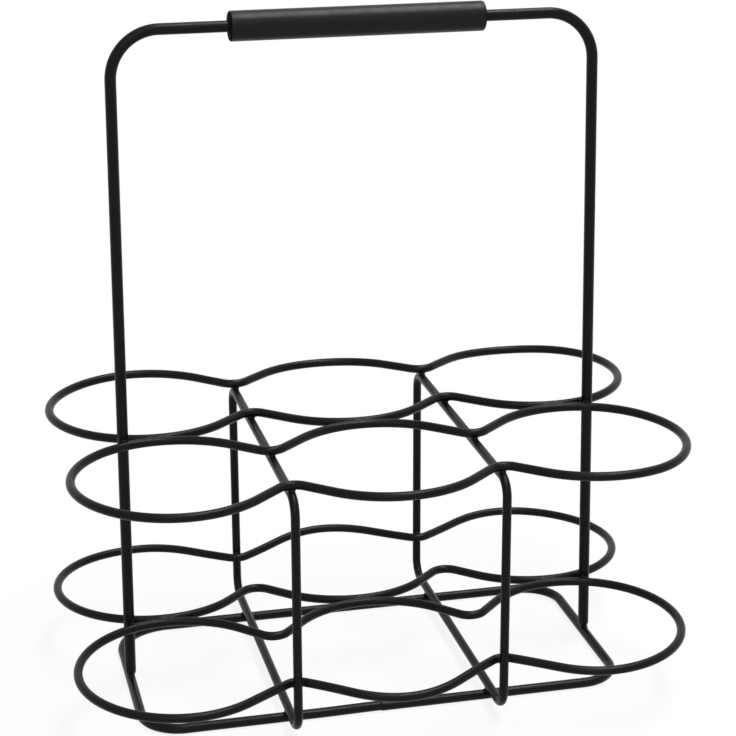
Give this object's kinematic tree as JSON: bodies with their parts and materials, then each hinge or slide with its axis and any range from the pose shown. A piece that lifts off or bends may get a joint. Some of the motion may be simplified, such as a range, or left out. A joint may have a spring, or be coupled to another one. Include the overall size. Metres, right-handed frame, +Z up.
{
  "type": "bottle caddy",
  "caption": "Welded round-wire bottle carrier: wavy upper and lower rings on a base loop and cross frames, with a tall carrying bail and a grip sleeve that turns on it.",
  "frame": {"origin": "middle of the rack on the surface that it stands on", "axes": "+X along a row of bottles, +Y from the front row to the rear row, +Z up"},
  "size_m": [0.28, 0.1882, 0.3091],
  "materials": {
    "wire_coat": "matt black powder coat on steel wire, fine orange peel",
    "weld_coat": "the same coat over small weld beads",
    "grip": "dark grey moulded plastic tube, satin"
  },
  "bodies": {
    "caddy": {"base_frame": "wire_coat", "cross_frame_left": "wire_coat", "cross_frame_right": "wire_coat", "upper_ring_front": "wire_coat", "upper_ring_rear": "wire_coat", "lower_ring_front": "wire_coat", "lower_ring_rear": "wire_coat", "handle_bail": "wire_coat", "welds_ring_seats": "weld_coat", "welds_ring_uprights": "weld_coat", "welds_ring_legs": "weld_coat", "welds_feet": "weld_coat", "welds_frame_base": "weld_coat", "welds_ring_pairs": "weld_coat"},
    "grip": {"grip_sleeve": "grip"}
  },
  "joints": [
    {"name": "grip_spin", "type": "hinge", "parent": "caddy", "child": "grip", "pos_m": [0, 0, 0.3026], "axis": [1, 0, 0], "continuous": true}
  ]
}
